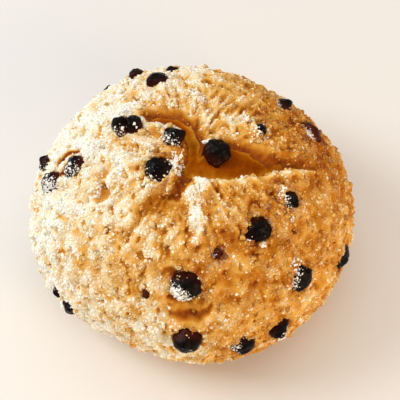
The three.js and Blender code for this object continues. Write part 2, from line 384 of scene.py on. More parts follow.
def toastAndLightAt(points):
    # how brown the crust has baked, 0 to 1, with painted light and shade in it
    toast = between(bakeAndLight["pale"], bakeAndLight["brown"], smoothstep(points[:, 0], *bakeAndLight["reach"]))
    toast = toast + uneven(points, *bakeAndLight["patches"])
    for bearing, lean, spread, darker in bakeAndLight["spots"]:
        toast = toast + darker * nearSpot(points, bearing, lean, spread)
    return np.clip(toast, 0, 1)


def node(tree, kind, **values):
    made = tree.nodes.new(kind)
    for key, value in values.items():
        if key.startswith("in_"):
            made.inputs[key[3:].replace("_", " ")].default_value = value
        else:
            setattr(made, key, value)
    return made


def feed(tree, socket, value):
    # a number or a colour is set, and another node's output is linked
    if isinstance(value, (int, float, tuple)):
        socket.default_value = value
    else:
        tree.links.new(value, socket)


def mathNode(tree, operation, first, second, clamp=False):
    made = node(tree, "ShaderNodeMath", operation=operation, use_clamp=clamp)
    feed(tree, made.inputs[0], first)
    feed(tree, made.inputs[1], second)
    return made.outputs[0]


def blendNode(tree, share, first, second, how="MIX"):
    made = node(tree, "ShaderNodeMix", data_type="RGBA", blend_type=how)
    feed(tree, made.inputs["Factor"], share)
    feed(tree, made.inputs[6], first)
    feed(tree, made.inputs[7], second)
    return made.outputs[2]


def rangeNode(tree, value, low, high, toLow=0.0, toHigh=1.0):
    made = node(tree, "ShaderNodeMapRange", interpolation_type="SMOOTHSTEP", in_From_Min=low,
                in_From_Max=high, in_To_Min=toLow, in_To_Max=toHigh)
    tree.links.new(value, made.inputs["Value"])
    return made.outputs["Result"]


def rampNode(tree, value, stops):
    made = tree.nodes.new("ShaderNodeValToRGB")
    elements = made.color_ramp.elements
    elements[0].position, elements[0].color = stops[0][0], palette[stops[0][1]]
    elements[1].position, elements[1].color = stops[-1][0], palette[stops[-1][1]]
    for at, name in stops[1:-1]:
        elements.new(at).color = palette[name]
    tree.links.new(value, made.inputs["Fac"])
    return made.outputs["Color"]


def place(tree):
    return tree.nodes.new("ShaderNodeTexCoord").outputs["Object"]


def noiseNode(tree, size, detail, rough=0.5):
    # its size in millimetres is a number or, in a group, one of the inputs
    made = node(tree, "ShaderNodeTexNoise", in_Detail=detail, in_Roughness=rough)
    tree.links.new(place(tree), made.inputs["Vector"])
    tree.links.new(mathNode(tree, "DIVIDE", 1 / mm, size), made.inputs["Scale"])
    return made.outputs["Fac"]


def newGroup(name, inputs, outputs):
    tree = bpy.data.node_groups.new(name, "ShaderNodeTree")
    for label, value in inputs:
        socket = tree.interface.new_socket(label, in_out="INPUT", socket_type="NodeSocketFloat")
        socket.default_value = value
    for label, kind in outputs:
        tree.interface.new_socket(label, in_out="OUTPUT", socket_type=kind)
    return tree, tree.nodes.new("NodeGroupInput").outputs, tree.nodes.new("NodeGroupOutput").inputs


def useGroup(tree, group, **values):
    made = node(tree, "ShaderNodeGroup", node_tree=group)
    for key, value in values.items():
        feed(tree, made.inputs[key], value)
    return made.outputs


def readPaint(tree, name):
    return node(tree, "ShaderNodeAttribute", attribute_name=name).outputs["Fac"]


def newMaterial(name, sockets):
    material = bpy.data.materials.new(name)
    material.use_nodes = True
    tree = material.node_tree
    shader = tree.nodes["Principled BSDF"]
    for key, value in sockets.items():
        shader.inputs[key].default_value = value
    return material, tree, shader


def bumpTo(tree, shader, height, strength, distance):
    bump = node(tree, "ShaderNodeBump", in_Strength=strength, in_Distance=distance * mm)
    tree.links.new(height, bump.inputs["Height"])
    tree.links.new(bump.outputs["Normal"], shader.inputs["Normal"])


# effects that several finishes share
effects = {
    # painted shade: how much darker a recess is painted
    "paintedShadeDarker": 0.45, "poresFrom": (0.3, 0.5), "dustReach": 0.55, "dustFrom": (0.72, 0.8),
    "tones": [(0.0, "raw"), (0.2, "pale"), (0.45, "golden"), (0.67, "brown"), (0.85, "deep"),
              (1.0, "dark")],
}


def toastAndShadeGroup():
    # the colour of baked dough from pale to dark, with painted shade darkening its recesses
    inputs = [("Toast", 0.5), ("Recess", 0.0), ("Mottle", 0.2), ("Size", 4.0)]
    outputs = [("Color", "NodeSocketColor"), ("Tone", "NodeSocketFloat")]
    tree, given, out = newGroup("toastAndShade", inputs, outputs)
    patches = mathNode(tree, "SUBTRACT", noiseNode(tree, given["Size"], 4.0, 0.6), 0.5)
    patches = mathNode(tree, "MULTIPLY", mathNode(tree, "MULTIPLY", patches, 2.0), given["Mottle"])
    paintedShade = mathNode(tree, "MULTIPLY", given["Recess"], effects["paintedShadeDarker"])
    tone = mathNode(tree, "ADD", mathNode(tree, "ADD", given["Toast"], patches), paintedShade, clamp=True)
    tree.links.new(rampNode(tree, tone, effects["tones"]), out["Color"])
    tree.links.new(tone, out["Tone"])
    return tree


def crumbGrainGroup():
    # fine crumb: rounded grains with pores between them
    inputs = [("Size", 0.5), ("Pores", 0.5)]
    outputs = [("Height", "NodeSocketFloat"), ("Speckle", "NodeSocketColor")]
    tree, given, out = newGroup("crumbGrain", inputs, outputs)
    grains = node(tree, "ShaderNodeTexVoronoi", feature="SMOOTH_F1", in_Smoothness=0.3)
    tree.links.new(place(tree), grains.inputs["Vector"])
    tree.links.new(mathNode(tree, "DIVIDE", 1 / mm, given["Size"]), grains.inputs["Scale"])
    rise = mathNode(tree, "SUBTRACT", 1.0, grains.outputs["Distance"])
    pores = rangeNode(tree, noiseNode(tree, given["Size"], 4.0, 0.65), *effects["poresFrom"])
    pores = mathNode(tree, "MULTIPLY", pores, given["Pores"])
    tree.links.new(mathNode(tree, "ADD", rise, pores), out["Height"])
    tree.links.new(grains.outputs["Color"], out["Speckle"])
    return tree


def sugarDustGroup():
    # fine sugar that clings in specks: a mask and a height
    inputs = [("Amount", 0.5), ("Size", 0.45)]
    outputs = [("Mask", "NodeSocketFloat"), ("Height", "NodeSocketFloat")]
    tree, given, out = newGroup("sugarDust", inputs, outputs)
    level = mathNode(tree, "MULTIPLY", given["Amount"], effects["dustReach"])
    specks = mathNode(tree, "ADD", noiseNode(tree, given["Size"], 2.0, 0.6), level)
    mask = rangeNode(tree, specks, *effects["dustFrom"])
    tree.links.new(mask, out["Mask"])
    tree.links.new(mask, out["Height"])
    return tree


toastAndShade = toastAndShadeGroup()
crumbGrain = crumbGrainGroup()
sugarDust = sugarDustGroup()


def toneAndGrain(tree, look):
    # tone from the toast, darkened by the painted shade
    tone = useGroup(tree, toastAndShade, Toast=readPaint(tree, "toast"), Recess=readPaint(tree, "paintedShade"),
                    Mottle=look["mottle"], Size=look["mottleSize"])
    return tone, useGroup(tree, crumbGrain, Size=look["grainSize"], Pores=look["pores"])


# what is set on the shader itself, then sizes in millimetres and shares from 0 to 1
crustLook = {
    "sockets": {"Roughness": 0.78, "Specular IOR Level": 0.15, "Subsurface Weight": 0.3,
                "Subsurface Scale": 0.0015, "Subsurface Radius": (1.0, 0.6, 0.25)},
    "mottle": 0.2, "mottleSize": 2.4, "grainSize": 0.55, "pores": 0.5, "speckled": 0.08,
    "dustSize": 0.5, "dustPaler": 0.5, "dustShows": 0.45, "dustRise": 0.8,
    "bump": (0.6, 0.16),    # strength and depth
}


def crustFinish():
    look = crustLook
    material, tree, shader = newMaterial("biscuitCrust", look["sockets"])
    tone, grain = toneAndGrain(tree, look)
    dust = useGroup(tree, sugarDust, Amount=readPaint(tree, "sugar"), Size=look["dustSize"])
    plain = blendNode(tree, look["speckled"], tone["Color"], grain["Speckle"], "SOFT_LIGHT")
    dusted = blendNode(tree, look["dustPaler"], tone["Color"], palette["raw"])
    shown = mathNode(tree, "MULTIPLY", dust["Mask"], look["dustShows"])
    tree.links.new(blendNode(tree, shown, plain, dusted), shader.inputs["Base Color"])
    dustHeight = mathNode(tree, "MULTIPLY", dust["Height"], look["dustRise"])
    bumpTo(tree, shader, mathNode(tree, "ADD", grain["Height"], dustHeight), *look["bump"])
    return material


doughLook = {
    "sockets": {"Roughness": 0.8, "Specular IOR Level": 0.01, "Subsurface Weight": 0.1,
                "Subsurface Scale": 0.0015, "Subsurface Radius": (1.0, 0.6, 0.2)},
    "mottle": 0.16, "mottleSize": 3.0, "grainSize": 1.1, "pores": 0.5,
    "roughness": (0.3, 0.9, 0.85, 0.75),    # between these two tones it goes from and to these
    "bump": (0.5, 0.25),
}


def doughFinish():
    look = doughLook
    material, tree, shader = newMaterial("bakedDough", look["sockets"])
    tone, grain = toneAndGrain(tree, look)
    tree.links.new(tone["Color"], shader.inputs["Base Color"])
    tree.links.new(rangeNode(tree, tone["Tone"], *look["roughness"]), shader.inputs["Roughness"])
    bumpTo(tree, shader, grain["Height"], *look["bump"])
    return material


chocolateLook = {
    "sockets": {"Specular IOR Level": 0.07},
    "bloomNoise": (1.6, 4.0, 0.6), "bloomFrom": (0.52, 0.78), "bloomShows": 0.16,
    "dustSize": 0.6, "dustShows": 0.85,
    "roughness": (0.3, 0.5), "dustRougher": 0.25,    # without bloom, with bloom, and where dust lies
    "rippleNoise": (0.9, 4.0, 0.6), "bump": (0.6, 0.3),
}


def chocolateFinish():
    look = chocolateLook
    material, tree, shader = newMaterial("bakedChocolate", look["sockets"])
    bloom = rangeNode(tree, noiseNode(tree, *look["bloomNoise"]), *look["bloomFrom"])
    dust = useGroup(tree, sugarDust, Amount=readPaint(tree, "dust"), Size=look["dustSize"])
    base = blendNode(tree, readPaint(tree, "ruddy"), palette["chocolate"], palette["cocoaRed"])
    bloomShown = mathNode(tree, "MULTIPLY", bloom, look["bloomShows"])
    base = blendNode(tree, bloomShown, base, palette["bloom"])
    dustShown = mathNode(tree, "MULTIPLY", dust["Mask"], look["dustShows"])
    base = blendNode(tree, dustShown, base, palette["sugar"])
    tree.links.new(base, shader.inputs["Base Color"])
    rougher = mathNode(tree, "MULTIPLY", dust["Mask"], look["dustRougher"])
    rough = mathNode(tree, "ADD", rangeNode(tree, bloom, 0, 1, *look["roughness"]), rougher)
    tree.links.new(rough, shader.inputs["Roughness"])
    ripple = mathNode(tree, "ADD", noiseNode(tree, *look["rippleNoise"]), dust["Height"])
    bumpTo(tree, shader, ripple, *look["bump"])
    return material


sugarLook = {
    "sockets": {"Specular IOR Level": 0.2, "Coat Roughness": 0.12, "Subsurface Weight": 0.3,
                "Subsurface Scale": 0.0005, "Subsurface Radius": (1.0, 0.8, 0.6)},
    "tints": [(0.0, "sugar"), (0.35, "cream"), (0.7, "honey"), (1.0, "amber")],
    "tintNoise": (0.8, 2.0), "tintUneven": 0.5, "bumpNoise": (0.25, 2.0), "bump": (0.3, 0.06),
}


def sugarFinish(name, roughness, coat):
    look = sugarLook
    sockets = {**look["sockets"], "Roughness": roughness, "Coat Weight": coat}
    material, tree, shader = newMaterial(name, sockets)
    around = mathNode(tree, "SUBTRACT", noiseNode(tree, *look["tintNoise"]), 0.5)
    around = mathNode(tree, "MULTIPLY", around, look["tintUneven"])
    tint = mathNode(tree, "ADD", readPaint(tree, "tint"), around, clamp=True)
    tree.links.new(rampNode(tree, tint, look["tints"]), shader.inputs["Base Color"])
    bumpTo(tree, shader, noiseNode(tree, *look["bumpNoise"]), *look["bump"])
    return material


floorLook = {"sockets": {"Roughness": 0.75, "Specular IOR Level": 0.2},
             "patchNoise": (260, 2.0), "patchFrom": (0.3, 0.7)}


def floorFinish():
    look = floorLook
    material, tree, shader = newMaterial("paleFloor", look["sockets"])
    patches = rangeNode(tree, noiseNode(tree, *look["patchNoise"]), *look["patchFrom"])
    tone = blendNode(tree, patches, palette["floor"], palette["floorWarm"])
    tree.links.new(tone, shader.inputs["Base Color"])
    return material


dough = {
    "cuts": 60, "underCrust": 2.0, "coveredFrom": (2, 8),    # heights between which the crust covers it
    "inCrack": (-2.6, 1.4),
    "low": (1.0, 5.0),    # it lies as low as a crack's floor to here outside the crack
    "lowInHollows": 1.5,
    "ripple": (0.25, 3.5, 2.2), "rippleUnderCrust": 0.4,
    "fibre": (0.2, 0.9, 7.7), "fibreStretch": (0.25, 1, 0.5),
    "toast": 0.53, "across": 0.002, "patches": (0.1, 9, 5.0), "crackRecess": 0.7,
    "footToast": 0.15, "footFrom": (0.2, 0.6),
    # where it stretched thin and stayed pale, or browned: x, y, spread and how much paler
    "thin": [(1, 8.5, 4.5, 0.12), (9, -8.5, 3.5, 0.12), (-9, 15.5, 6, -0.12), (-2, -10, 3, -0.12)],
}


def doughPiece():
    d, triangles = geodesic(dough["cuts"])
    plain = domeRadius(d)
    p = d * plain[:, None] + centre
    outside, halfWidth = crackEdge(p[:, 0], p[:, 1])
    share = crackShare(d, halfWidth)
    inCrack = (1 - smoothstep(outside, *dough["inCrack"])) * share
    low = (1 - smoothstep(outside, *dough["low"])) * share
    low = np.maximum(low, dough["lowInHollows"] * bandsAt(p, hollows)[0])
    relief = swell(d) - dough["underCrust"] * smoothstep(p[:, 2], *dough["coveredFrom"])
    relief = relief - (cracking["depth"] - dough["underCrust"]) * low
    relief = relief + uneven(p, dough["ripple"]) * between(dough["rippleUnderCrust"], 1, inCrack)
    relief = relief + uneven(p * dough["fibreStretch"], dough["fibre"]) * inCrack
    mesh = meshFrom("dough", placed(d, plain, relief), triangles)
    toast = dough["toast"] + dough["across"] * p[:, 0] + uneven(p, dough["patches"])
    toast = toast + dough["footToast"] * smoothstep(-d[:, 2], *dough["footFrom"])
    for x, y, spread, paler in dough["thin"]:
        toast = toast - paler * bell(np.hypot(p[:, 0] - x, p[:, 1] - y), 0, spread)
    paint(mesh, "toast", np.clip(toast, 0, 1))
    # painted shade darkens the dough down in the cracks
    paint(mesh, "paintedShade", dough["crackRecess"] * inCrack)
    return addPiece("dough", mesh, doughFinish())


crust = {
    "cuts": 97, "crownFineness": 0.28, "sink": 0.15,
    "lumps": [(1, 4.6, 0.3), (0.6, 2.3, 3.9)], "lumpRise": 0.6, "grit": (0.15, 0.9, 2.7),
    "pits": (-1, 2.2, 5.1), "pitStretch": (1.25, 0.8, 0.8), "pitFrom": (0.25, 0.5), "pitDepth": 0.6,
    "ridges": 11, "ridgeLength": 14, "ridgeRise": 0.42, "ridgeStart": 3.3, "ridgeSharpness": 4,
    "ridgesBegin": (0.1, 0.25), "ridgesEnd": (0.6, 1.0),    # leans in radians
    # how far off a chip these lie, and how far they spread
    "rimAt": (0.9, 0.5), "grooveAt": (0.15, 0.25), "brownAt": (0.5, 1.2),
    "chipRim": 0.45, "rimEven": 0.6, "chipGroove": 0.4, "chipSink": 0.8,
    "roughByChip": 0.25, "roughFrom": (0.2, 1.6),    # share of its roughness by a chip, and further off
    "calmBy": (0.7, 0.2), "calmSpread": 2.0,    # how much smoother it is by a sagging edge, by a torn one
    "footDepth": 3.0, "foot": (0.5, 6),    # it dives below the dough between these heights
    # how much paler or browner these parts are; the paler lump tops are partly a painted highlight
    "ridgePale": 0.11, "lumpPale": 0.15, "tornPale": 0.3, "chipBrown": 0.12,
    # painted shade: dark in its pits, less on its lumps, and less where it has browned from and to these
    # toasts
    "pitShade": 0.8, "lumpShade": 0.25, "brownedShade": 0.6, "browned": (0.3, 0.65),
    # how thickly sugar lies on it, 0 to 1
    "sugar": {
        "right": 0.47, "leftMore": 0.43, "leftward": (-15, 35),
        "patches": [(0.25, 8, 7.7), (0.55, 2.6, 1.1)], "least": 0.08, "foot": (1.5, 7),
        "pitsLess": 0.85, "even": 0.7, "lumpsMore": 0.5, "hollowsLess": 0.9, "tornLess": 0.8,
        "openPower": 1.8, "tornPower": 1.5,    # how soon it ends by a crack
        "chipClear": (0, 0.4), "collar": 1.0, "collarAt": (0.6, 0.7),    # thicker right round a chip
        "bald": [(269, 61, 4.5), (274, 66, 4)],    # bearing, lean and spread of places without sugar
        "painted": 0.8,
    },
}


def crownwards(d, fineness):
    # draws directions together at the crown, so that its faces are the smallest
    bearing, lean = anglesOf(d)
    return directions(bearing, lean - fineness * np.sin(lean))


def stretchRidges(d):
    # ridges that fan out from the crown, where the crust stretched as it rose
    bearing, lean = anglesOf(d)
    where = np.stack([np.cos(bearing) * crust["ridges"], np.sin(bearing) * crust["ridges"],
                      lean * bun["width"] / 2 / crust["ridgeLength"]], 1)
    reach = smoothstep(lean, *crust["ridgesBegin"]) * (1 - smoothstep(lean, *crust["ridgesEnd"]))
    return (1 - np.abs(waves(where, 1.0, crust["ridgeStart"])) * crust["ridgeSharpness"]) * reach


def crustForm(d, plain, p):
    # what the crust's relief, colour and sugar follow, for each point
    form = SimpleNamespace()
    outside, halfWidth = crackEdge(p[:, 0], p[:, 1])
    form.slope = crackSlope(p)
    form.share = crackShare(d, halfWidth)
    form.torn = torn = smoothstep(-form.slope[:, 1], *cracking["tornFrom"])
    form.outside = outside + uneven(p, cracking["ragged"]) + uneven(p, cracking["raggedTorn"]) * torn
    inner, outer = (between(sag, tear, torn) for sag, tear in zip(cracking["sagging"], cracking["torn"]))
    form.gap = 1 - smoothstep(form.outside, inner, outer)
    form.opened = form.gap * form.share
    form.edge = bell(form.outside, *cracking["edgeAt"]) * form.share
    form.folded = foldAt(p)
    form.hollow, form.hollowToast = bandsAt(p, hollows)
    form.crease, form.creaseToast = bandsAt(p, creases)
    broad = swell(d) + (1 - form.opened) * bun["cragRise"] * crags(p) + fold["rise"] * form.folded
    broad = broad - hollows["depth"] * form.hollow * (1 - form.opened) - creases["depth"] * form.crease
    form.broad = broad
    form.away = chipDistance(placed(d, plain, broad - cracking["depth"] * form.opened), chipTree())
    form.lump = uneven(p, *crust["lumps"])
    form.pit = smoothstep(uneven(p * crust["pitStretch"], crust["pits"]), *crust["pitFrom"])
    form.ridges = stretchRidges(d)
    return form


def crustRelief(p, form):
    # how high the crust stands over the plain dome
    rough = crust["lumpRise"] * form.lump + crust["ridgeRise"] * form.ridges - crust["pitDepth"] * form.pit
    rough = rough + uneven(p, crust["grit"])
    calm = between(crust["roughByChip"], 1, smoothstep(form.away, *crust["roughFrom"]))
    smoother = between(*crust["calmBy"], form.torn) * bell(form.outside, 0, crust["calmSpread"])
    calm = calm * (1 - smoother * form.share)
    lip = bell(form.outside, *cracking["lipAt"]) * form.share
    lip = lip * between(cracking["lipWhereSagging"], 1, form.torn)
    rim = bell(form.away, *crust["rimAt"]) * (crust["rimEven"] + form.lump)
    groove = bell(form.away, *crust["grooveAt"])
    relief = form.broad - crust["sink"] + (1 - form.opened) * rough * calm
    relief = relief + cracking["lipRise"] * lip + crust["chipRim"] * rim
    relief = relief - crust["chipGroove"] * groove - crust["chipSink"] * (form.away < 0)
    relief = relief - (cracking["depth"] + cracking["under"]) * form.opened
    return relief - crust["footDepth"] * (1 - smoothstep(p[:, 2], *crust["foot"]))


def crustToast(points, form):
    # the fold and the lump tops are paler partly as a painted highlight
    toast = toastAndLightAt(points) - fold["paler"] * form.folded - crust["ridgePale"] * form.ridges
    toast = toast - crust["lumpPale"] * form.lump + crust["chipBrown"] * bell(form.away, *crust["brownAt"])
    toast = between(toast, form.hollowToast, smoothstep(form.hollow, *hollows["toastFrom"]))
    # crack floors are darker partly as painted shade
    reach = np.minimum(1, cracking["floorToastReach"] * form.share)
    onFloor = smoothstep(form.gap, *cracking["floorToastFrom"]) * reach
    toast = between(toast, cracking["floorToastAndShade"], onFloor) - crust["tornPale"] * form.edge * form.torn
    # creases are darker partly as painted shade
    return between(toast, form.creaseToast, form.crease)


def crustRecess(toast, form):
    # painted shade in the pits, lighter on the lumps, none in the cracks
    browned = crust["brownedShade"] * smoothstep(toast, *crust["browned"])
    shade = crust["pitShade"] * form.pit - crust["lumpShade"] * form.lump
    return np.clip(shade * (1 - browned) * (1 - form.opened), 0, 1)


def crustSugar(points, p, form):
    lying = crust["sugar"]
    thick = lying["right"] + lying["leftMore"] * smoothstep(-points[:, 0], *lying["leftward"])
    thick = thick + uneven(p, *lying["patches"])
    thick = np.clip(thick, lying["least"], 1) * smoothstep(p[:, 2], *lying["foot"])
    thick = thick * (1 - lying["pitsLess"] * form.pit) * (lying["even"] + lying["lumpsMore"] * form.lump)
    thick = thick + fold["sugar"] * form.folded
    thick = thick * (1 - form.opened) ** (lying["openPower"] + lying["tornPower"] * form.torn)
    thick = thick * (1 - lying["hollowsLess"] * form.hollow) * (1 - form.crease)
    thick = thick * (1 - lying["tornLess"] * form.edge * form.torn)
    thick = thick * smoothstep(form.away, *lying["chipClear"])
    for bearing, lean, spread in lying["bald"]:
        thick = thick * (1 - nearSpot(points, bearing, lean, spread))
    return np.clip(thick * (1 + lying["collar"] * bell(form.away, *lying["collarAt"])), 0, 1)


def crustPiece():
    d, triangles = geodesic(crust["cuts"])
    d = crownwards(d, crust["crownFineness"])
    plain = domeRadius(d)
    p = d * plain[:, None] + centre
    form = crustForm(d, plain, p)
    points = placed(d, plain, crustRelief(p, form))
    overhang = cracking["overhang"] * bell(form.outside, *cracking["overhangAt"]) * form.share * form.torn
    points[:, :2] -= form.slope * overhang[:, None]
    toast = crustToast(points, form)
    paintedShade = crustRecess(toast, form)
    thick = crustSugar(points, p, form)
    mesh = meshFrom("crust", points, triangles)
    paint(mesh, "toast", np.clip(toast, 0, 1))
    paint(mesh, "paintedShade", paintedShade)
    paint(mesh, "sugar", thick * crust["sugar"]["painted"])
    piece = addPiece("crust", mesh, crustFinish())
    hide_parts("bun")
    return SimpleNamespace(points=points, triangles=triangles, sugar=thick, toast=toast, paintedShade=paintedShade,
                           form=form)


chocolate = {
    "weld": 0.01, "levels": 2, "softness": 0.65, "dent": 0.95, "dents": [(1, 3.0, 3.0), (0.4, 1.1, 6.0)],
    # share of a chip that sugar lies on, and the side that it lies on, where it isn't the usual
    "usualDust": (0.1, (0, -0.3, -1)),
    "dust": {
        "chip_01": (0.0, (0, 0, 1)), "chip_02": (0.16, (-0.5, -1, 0)), "chip_03": (0.35, (-0.6, -0.8, 0.3)),
        "chip_04": (0.03, (0, -1, 0)), "chip_05": (0.35, (-0.3, -1, 0)), "chip_06": (0.6, (-1, -0.6, 0)),
        "chip_07": (0.1, (0, -1, -0.3)), "chip_08": (0.55, (-0.8, -1, -0.3)),
        "chip_09": (0.2, (0, -0.6, -1)), "chip_10": (0.36, (-0.6, -0.6, 0.5)),
        "chip_11": (0.6, (-1, -0.2, 0.6)), "chip_12": (0.3, (-1, -0.2, 0.3)),
        "chip_13": (0.42, (-1, -0.2, 0.5)), "chip_14": (0.62, (0.9, 0, -0.8)),
        "chip_15": (0.4, (-1, 0, 0.3)), "chip_17": (0.42, (-0.5, -0.8, 0.3)),
        "chip_18": (0.55, (-0.4, -0.7, 0.5)), "chip_19": (0.42, (0, -1, 0)), "chip_22": (0.02, (0, 0, 1)),
        "chip_23": (0.0, (0, 0, 1)), "chip_26": (0.5, (-1, -0.5, 0)), "chip_27": (0.6, (-0.7, -0.6, 0.5)),
    },
    "dustFrom": (0, 0.7), "cleanBelow": 0.02,
    # share of the chip's foot that sugar and crumbs cling to, in which patches and at which height
    "clinging": 0.25, "clingPatches": (1, 2, 8.5), "clingFrom": (-0.1, 0.4), "clingAt": (0.1, 0.35),
    # how many millimetres a melted chip has swelled or shrunk by
    "swelled": {"chip_04": 0.6, "chip_05": 0.75, "chip_22": 0.6, "chip_15": -0.5, "chip_16": -0.4},
    # how red-brown a chip is where it meets the crust, where it isn't the usual, and above 1 all over
    "usualRuddy": 0.35, "ruddyTo": (-0.2, 0.8),
    "ruddy": {"chip_05": 0.7, "chip_09": 0.6, "chip_15": 1.6, "chip_16": 1.6, "chip_17": 0.9,
              "chip_18": 0.8, "chip_27": 1.6},
}


def divided(piece, kind):
    # the piece's mesh with finer faces, and its points
    soften = piece.modifiers["soften"]
    soften.subdivision_type = kind
    mesh = bpy.data.meshes.new_from_object(piece.evaluated_get(bpy.context.evaluated_depsgraph_get()))
    points = np.zeros(len(mesh.vertices) * 3, np.float32)
    mesh.vertices.foreach_get("co", points)
    return mesh, points.reshape(-1, 3).astype(float) / mm


def softenedChip(piece, name):
    # the chip's mesh and points, with its edges rounded and its sides dented
    weld = piece.modifiers.new("weld", "WELD")
    weld.merge_threshold = chocolate["weld"] * mm
    soften = piece.modifiers.new("soften", "SUBSURF")
    soften.levels = soften.render_levels = chocolate["levels"]
    _, plain = divided(piece, "SIMPLE")
    mesh, points = divided(piece, "CATMULL_CLARK")
    piece.modifiers.clear()
    points = plain + chocolate["softness"] * (points - plain)
    middle = (points.min(0) + points.max(0)) / 2
    outward = chocolate["dent"] * uneven(points, *chocolate["dents"]) + chocolate["swelled"].get(name, 0)
    points = points + unit(points - middle) * outward[:, None]
    mesh.vertices.foreach_set("co", (points * mm).astype(np.float32).ravel())
    mesh.polygons.foreach_set("use_smooth", np.full(len(mesh.polygons), True))
    mesh.update()
    return mesh, points, middle


def dustOnChip(name, points, middle, height):
    # how thickly sugar lies on the chip, with and without what clings to its foot, and how crumbly it is
    amount, side = chocolate["dust"].get(name, chocolate["usualDust"])
    onSide = (points - middle) @ unit(np.array(side, float)) / lengths(points - middle).max()
    lies = amount * smoothstep(onSide, *chocolate["dustFrom"])
    patches = smoothstep(uneven(points, chocolate["clingPatches"]), *chocolate["clingFrom"])
    clings = patches * bell(height, *chocolate["clingAt"])
    clings = chocolate["clinging"] * clings * (amount > chocolate["cleanBelow"])
    return np.maximum(lies, clings), lies, clings / (clings + lies + 0.001)    # never divided by 0


def chipPiece(name, finish):
    piece = addObject(name.replace("chip", "chocolate"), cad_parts[name].data.copy())
    mesh, points, middle = softenedChip(piece, name)
    piece.data = mesh
    for layer in list(mesh.uv_layers):
        mesh.uv_layers.remove(layer)
    mesh.materials.clear()
    mesh.materials.append(finish)
    height = (points - middle) @ unit(middle - centre - crownAt)
    height = height / height.max()
    ruddy = chocolate["ruddy"].get(name, chocolate["usualRuddy"])
    ruddy = ruddy * (1 - smoothstep(height, *chocolate["ruddyTo"])) + max(ruddy - 1, 0)
    paint(mesh, "ruddy", np.clip(ruddy, 0, 1))
    dust, lies, crumbly = dustOnChip(name, points, middle, height)
    paint(mesh, "dust", lies)
    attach(piece, "root")
    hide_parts(name)
    mesh.calc_loop_triangles()
    corners = np.zeros(len(mesh.loop_triangles) * 3, np.int32)
    mesh.loop_triangles.foreach_get("vertices", corners)
    return points, corners.reshape(-1, 3), dust, crumbly


def chipPieces():
    # every chip, and all their corners, triangles and sugar together
    finish = chocolateFinish()
    made = [chipPiece(name, finish) for name in chipNodes]
    points, triangles, dust, crumbly = zip(*made)
    first = np.cumsum([0] + [len(own) for own in points])
    triangles = [own + start for own, start in zip(triangles, first)]
    return SimpleNamespace(points=np.concatenate(points), triangles=np.concatenate(triangles),
                           sugar=np.concatenate(dust), crumbly=np.concatenate(crumbly))


crumbs = {
    "count": 1700, "size": (0.7, 2.1), "jitter": 0.4, "toastSpread": 0.1, "dusted": 0.35,
    # how many lie anywhere, on torn crust and by chips, there at this distance and spread
    "least": 0.25, "onTorn": 2.0, "byChips": 2.5, "chipsAt": (0.4, 0.5),
}

sugar = {
    # piece: how many, smallest and largest size, how rough and how glossy
    "kinds": {
        "sugar_coarse": {"count": 14500, "size": (0.5, 1.0), "rough": 0.35, "coat": 0.15},
        "sugar_fine": {"count": 23500, "size": (0.35, 0.6), "rough": 0.4, "coat": 0.0},
    },
    "onChips": {"sugar_coarse": 320, "sugar_fine": 750},
    "lift": -0.05, "jitter": 0.16, "tintSpread": 0.13,    # shares of a grain's size, and of its tint
    # tint of the crust's grains on pale crust, and how much more on brown crust and under the painted shade
    # in its recesses
    "tint": 0.05, "tintOnBrown": 0.85, "tintInRecess": 0.2,
    "chipTint": 0.02, "crumblyTint": 0.9,
    # how far clusters of grains stay pale on brown crust
    "clusterPale": 0.3, "clusters": (1, 2.6, 9.1), "clusterFrom": (0.05, 0.35),
    # heaps of sugar by chips: bearing, lean, radius and height of the heap, grains, tint
    "heaps": [
        (215, 7.5, 2.4, 0.8, 110, 0.12), (38, 10, 1.0, 1.2, 22, 0.02), (26, 34, 2.4, 0.8, 50, 0.0),
        (42, 35, 1.6, 0.6, 24, 0.1), (303, 29, 0.5, 0.6, 6, 0.0), (330, 50, 0.5, 0.6, 6, 0.0),
        (340, 42, 1.2, 0.6, 18, 0.1), (318, 62, 1.5, 0.8, 26, 0.1), (310, 48, 1.1, 0.5, 16, 0.1),
        (127, 41, 2.4, 0.9, 80, 0.0), (166, 42, 2.6, 0.7, 60, 0.02), (85, 35, 2.4, 0.6, 40, 0.15),
        (196, 43, 2.0, 0.5, 30, 0.05),
    ],
    "heapReach": 3,    # radii
    "crystalShape": (1.0, 0.82, 0.68), "fineShape": (0.6, 0.51, 0.45),
}
smallBias = 2.2    # most grains and crumbs are near the smallest size


def scatter(surface, density, count):
    # places on a surface, as many for an area as its density, with its direction and corners there
    points, triangles = surface.points, surface.triangles
    a, b, c = (points[triangles[:, k]] for k in range(3))
    facing = np.cross(b - a, c - a)
    weight = lengths(facing) * density[triangles].mean(1)
    chosen = rng.choice(len(triangles), count, p=weight / weight.sum())
    u, v = rng.random((2, count))
    flip = u + v > 1
    u, v = np.where(flip, 1 - u, u), np.where(flip, 1 - v, v)
    where = a[chosen] + (b - a)[chosen] * u[:, None] + (c - a)[chosen] * v[:, None]
    return where, unit(facing[chosen]), triangles[chosen, 0]


def sizesFor(count, size):
    return between(*size, rng.random(count) ** smallBias)


def turns(count):
    # random rotations
    w, x, y, z = unit(rng.normal(size=(count, 4))).T
    rows = [1 - 2 * (y * y + z * z), 2 * (x * y - w * z), 2 * (x * z + w * y),
            2 * (x * y + w * z), 1 - 2 * (x * x + z * z), 2 * (y * z - w * x),
            2 * (x * z - w * y), 2 * (y * z + w * x), 1 - 2 * (x * x + y * y)]
    return np.stack(rows, 1).reshape(-1, 3, 3)


